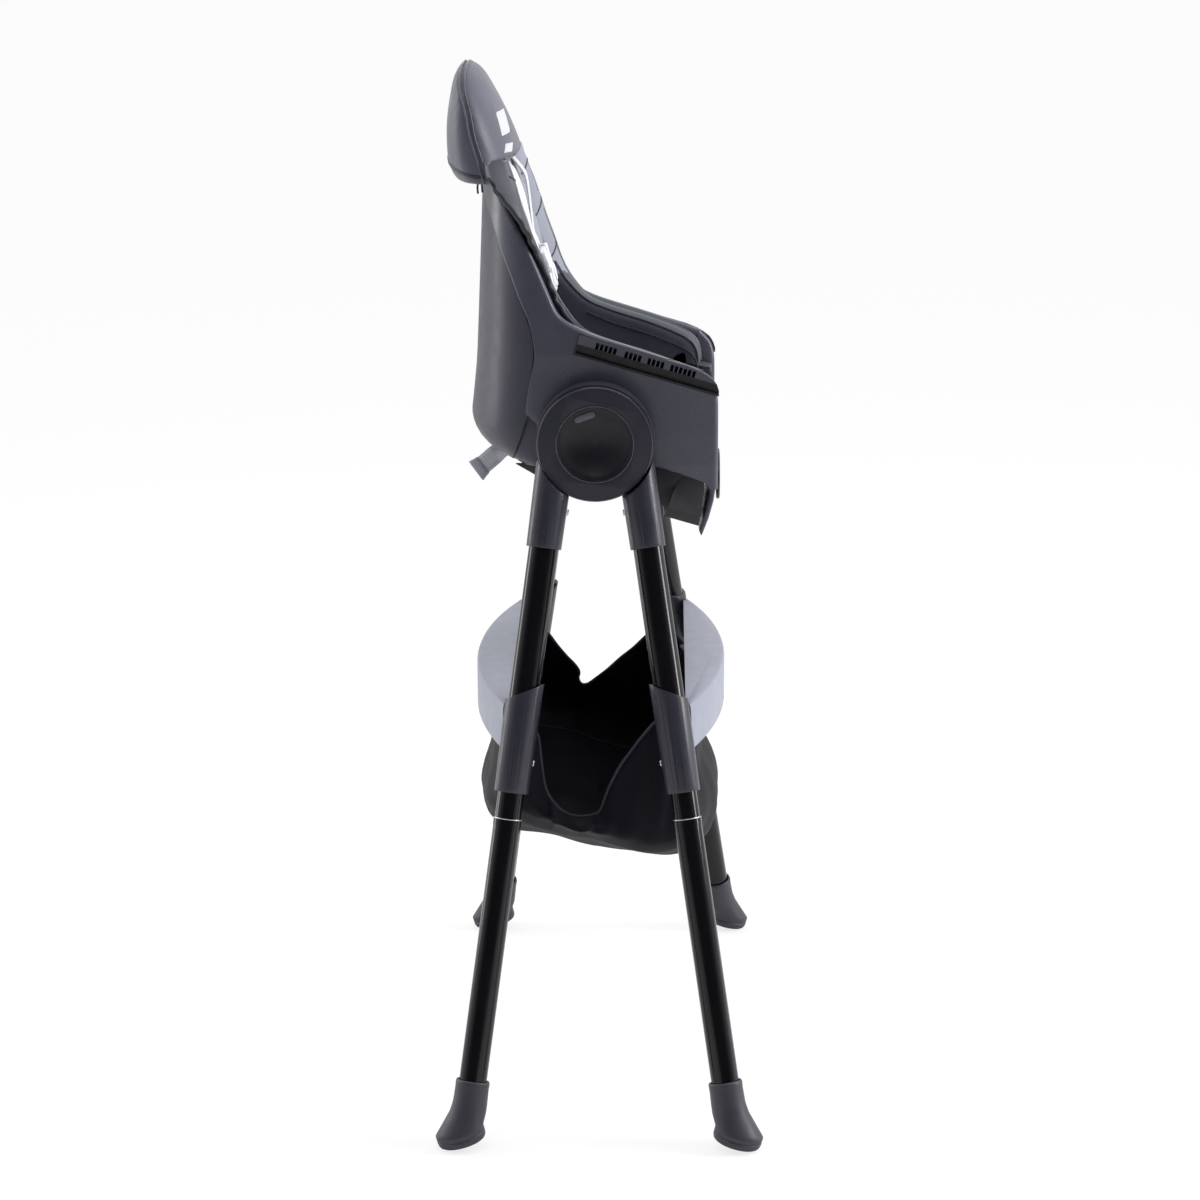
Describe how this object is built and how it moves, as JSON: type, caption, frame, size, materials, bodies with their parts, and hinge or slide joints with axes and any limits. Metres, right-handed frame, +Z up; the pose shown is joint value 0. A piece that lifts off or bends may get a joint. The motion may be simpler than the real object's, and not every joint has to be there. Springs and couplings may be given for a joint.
{
  "type": "baby high chair",
  "caption": "Folding baby high chair: moulded seat with padded cover and harness, hub joints, four splayed tube legs with cross braces and a hanging fabric basket.",
  "frame": {"origin": "on the floor, in the middle of the four feet, with the legs folded together", "axes": "+Z up, the child faces -Y, X across the seat, parallel to the hub axis"},
  "size_m": [0.6578, 0.3168, 1.0158],
  "materials": {
    "shell_grey": "fine moulded texture",
    "casing_grey": "smooth satin",
    "black_plastic": "fine moulded texture",
    "steel": "plain",
    "dark_cover": "soft embossed grain",
    "grey_cover": "soft embossed grain",
    "white_webbing": "woven webbing",
    "white_plastic": "smooth",
    "grey_webbing": "woven webbing",
    "grey_plastic": "smooth",
    "gloss_black": "polished",
    "button_grey": "satin",
    "black_tube": "gloss enamel",
    "frame_grey": "fine moulded texture",
    "brace_grey": "fine moulded texture",
    "basket_fabric": "plain weave"
  },
  "bodies": {
    "seat": {"seat_shell": "shell_grey", "rear_casing": "casing_grey", "seat_pan": "black_plastic", "front_apron": "shell_grey", "footrest_box": "black_plastic", "footrest_boss": "black_plastic", "under_rib": "black_plastic", "hub_axle_left": "steel", "hub_axle_right": "steel", "tray_rail_left": "black_plastic", "tray_rail_right": "black_plastic", "head_cover": "dark_cover", "back_pad": "grey_cover", "seat_pad": "dark_cover", "bolster_left": "dark_cover", "bolster_right": "dark_cover", "shoulder_strap_left": "white_webbing", "shoulder_strap_right": "white_webbing", "harness_buckle": "white_plastic", "waist_straps": "white_webbing", "crotch_strap": "white_webbing", "strap_tail": "grey_webbing", "tail_adjuster": "grey_plastic"},
    "rear_frame": {"rear_socket_left": "frame_grey", "rear_socket_right": "frame_grey", "hub_ring_left": "gloss_black", "hub_ring_right": "gloss_black", "hub_dish_left": "gloss_black", "hub_dish_right": "gloss_black", "rear_upper_tube_left": "black_tube", "rear_upper_tube_right": "black_tube", "rear_sleeve_left": "frame_grey", "rear_sleeve_right": "frame_grey", "rear_brace": "brace_grey", "rear_stub_left": "black_tube", "rear_stub_right": "black_tube", "rear_lower_tube_left": "black_tube", "rear_lower_tube_right": "black_tube", "rear_boot_left": "frame_grey", "rear_boot_right": "frame_grey", "rear_screws": "steel", "basket": "basket_fabric"},
    "front_frame": {"front_socket_left": "frame_grey", "front_socket_right": "frame_grey", "front_upper_tube_left": "black_tube", "front_upper_tube_right": "black_tube", "front_sleeve_left": "frame_grey", "front_sleeve_right": "frame_grey", "front_brace": "brace_grey", "front_stub_left": "black_tube", "front_stub_right": "black_tube", "front_lower_tube_left": "black_tube", "front_lower_tube_right": "black_tube", "front_boot_left": "frame_grey", "front_boot_right": "frame_grey", "front_screws": "steel"},
    "button_left": {"release_button_left": "button_grey"},
    "button_right": {"release_button_right": "button_grey"}
  },
  "joints": [
    {"name": "rear_swing", "type": "hinge", "parent": "seat", "child": "rear_frame", "pos_m": [0, 0.005, 0.665], "axis": [1, 0, 0], "range_deg": [0, 15]},
    {"name": "front_swing", "type": "hinge", "parent": "rear_frame", "child": "front_frame", "pos_m": [0, 0.005, 0.665], "axis": [-1, 0, 0], "range_deg": [0, 30]},
    {"name": "button_left_press", "type": "slide", "parent": "rear_frame", "child": "button_left", "axis": [1, 0, 0], "range_m": [0, 0.003], "stiffness_N_per_m": 600, "springref_m": -0.001},
    {"name": "button_right_press", "type": "slide", "parent": "rear_frame", "child": "button_right", "axis": [-1, 0, 0], "range_m": [0, 0.003], "stiffness_N_per_m": 600, "springref_m": -0.001}
  ],
  "couplings": [
    {"joint": "front_swing", "follows": "rear_swing", "ratio": 2}
  ]
}
